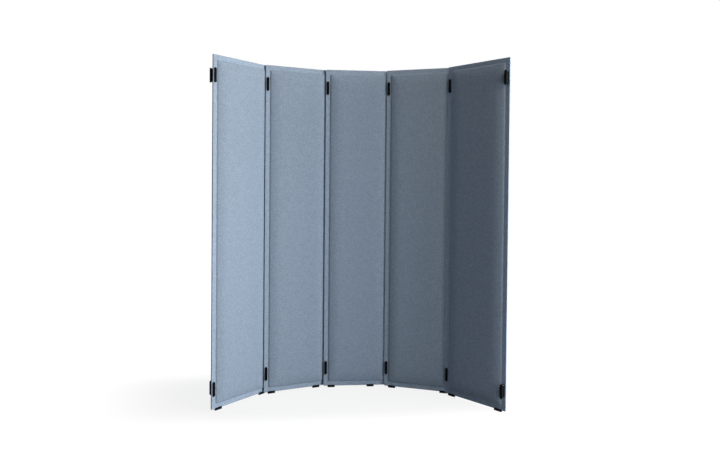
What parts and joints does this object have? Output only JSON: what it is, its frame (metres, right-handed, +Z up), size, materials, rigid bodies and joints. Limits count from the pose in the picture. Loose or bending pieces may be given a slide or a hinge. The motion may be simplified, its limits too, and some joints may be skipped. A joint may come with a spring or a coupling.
{
  "type": "folding screen",
  "caption": "Free-standing folding acoustic screen: padded felt panels with thin pressed rims, joined by black clip hinges, standing on small push-on feet.",
  "frame": {"origin": "on the floor, under the middle of the whole screen", "axes": "+Z up, -Y towards the viewer (the hollow side of the curve), +X along the middle panel to the right as seen from the front"},
  "size_m": [1.6166, 0.514, 1.929],
  "materials": {
    "felt": "blue-grey melange felt",
    "black_plastic": "black, satin moulded",
    "pin_steel": "plain drawn steel"
  },
  "bodies": {
    "panel_1": {"panel_1_front_felt": "felt", "panel_1_rear_felt": "felt", "panel_1_left_foot": "black_plastic", "panel_1_right_foot": "black_plastic", "left_end_top_front_half": "black_plastic", "left_end_top_pin": "pin_steel", "hinge_1_2_top_rear_half": "black_plastic", "left_end_bottom_front_half": "black_plastic", "left_end_bottom_pin": "pin_steel", "hinge_1_2_bottom_rear_half": "black_plastic"},
    "panel_2": {"panel_2_front_felt": "felt", "panel_2_rear_felt": "felt", "panel_2_left_foot": "black_plastic", "panel_2_right_foot": "black_plastic", "hinge_1_2_top_front_half": "black_plastic", "hinge_1_2_top_pin": "pin_steel", "hinge_2_3_top_rear_half": "black_plastic", "hinge_1_2_bottom_front_half": "black_plastic", "hinge_1_2_bottom_pin": "pin_steel", "hinge_2_3_bottom_rear_half": "black_plastic"},
    "panel_3": {"panel_3_front_felt": "felt", "panel_3_rear_felt": "felt", "panel_3_left_foot": "black_plastic", "panel_3_right_foot": "black_plastic", "hinge_2_3_top_front_half": "black_plastic", "hinge_2_3_top_pin": "pin_steel", "hinge_3_4_top_rear_half": "black_plastic", "hinge_2_3_bottom_front_half": "black_plastic", "hinge_2_3_bottom_pin": "pin_steel", "hinge_3_4_bottom_rear_half": "black_plastic"},
    "panel_4": {"panel_4_front_felt": "felt", "panel_4_rear_felt": "felt", "panel_4_left_foot": "black_plastic", "panel_4_right_foot": "black_plastic", "hinge_3_4_top_front_half": "black_plastic", "hinge_3_4_top_pin": "pin_steel", "hinge_4_5_top_rear_half": "black_plastic", "hinge_3_4_bottom_front_half": "black_plastic", "hinge_3_4_bottom_pin": "pin_steel", "hinge_4_5_bottom_rear_half": "black_plastic"},
    "panel_5": {"panel_5_front_felt": "felt", "panel_5_rear_felt": "felt", "panel_5_left_foot": "black_plastic", "panel_5_right_foot": "black_plastic", "hinge_4_5_top_front_half": "black_plastic", "hinge_4_5_top_pin": "pin_steel", "right_end_top_rear_half": "black_plastic", "hinge_4_5_bottom_front_half": "black_plastic", "hinge_4_5_bottom_pin": "pin_steel", "right_end_bottom_rear_half": "black_plastic"},
    "left_end_top_free": {"left_end_top_rear_half": "black_plastic"},
    "right_end_top_free": {"right_end_top_front_half": "black_plastic", "right_end_top_pin": "pin_steel"},
    "left_end_bottom_free": {"left_end_bottom_rear_half": "black_plastic"},
    "right_end_bottom_free": {"right_end_bottom_front_half": "black_plastic", "right_end_bottom_pin": "pin_steel"}
  },
  "joints": [
    {"name": "fold_3_4", "type": "hinge", "parent": "panel_3", "child": "panel_4", "pos_m": [0.22706, 0.21613, 0.12], "axis": [0, 0, -1], "range_deg": [-58, 16]},
    {"name": "fold_4_5", "type": "hinge", "parent": "panel_4", "child": "panel_5", "pos_m": [0.56905, 0.06343, 0.12], "axis": [0, 0, -1], "range_deg": [-67, 7]},
    {"name": "fold_2_3", "type": "hinge", "parent": "panel_3", "child": "panel_2", "pos_m": [-0.14694, 0.23613, 0.12], "axis": [0, 0, 1], "range_deg": [-55, 19]},
    {"name": "fold_1_2", "type": "hinge", "parent": "panel_2", "child": "panel_1", "pos_m": [-0.50882, 0.13958, 0.12], "axis": [0, 0, 1], "range_deg": [-64, 10]},
    {"name": "left_end_top_swing", "type": "hinge", "parent": "panel_1", "child": "left_end_top_free", "pos_m": [-0.78742, -0.11074, 1.818], "axis": [0, 0, 1], "range_deg": [-92, 58]},
    {"name": "left_end_bottom_swing", "type": "hinge", "parent": "panel_1", "child": "left_end_bottom_free", "pos_m": [-0.78742, -0.11074, 0.12], "axis": [0, 0, 1], "range_deg": [-44, 106]},
    {"name": "right_end_top_swing", "type": "hinge", "parent": "panel_5", "child": "right_end_top_free", "pos_m": [0.78887, -0.23981, 1.818], "axis": [0, 0, 1], "range_deg": [-58, 92]},
    {"name": "right_end_bottom_swing", "type": "hinge", "parent": "panel_5", "child": "right_end_bottom_free", "pos_m": [0.78887, -0.23981, 0.12], "axis": [0, 0, 1], "range_deg": [-53, 97]}
  ]
}
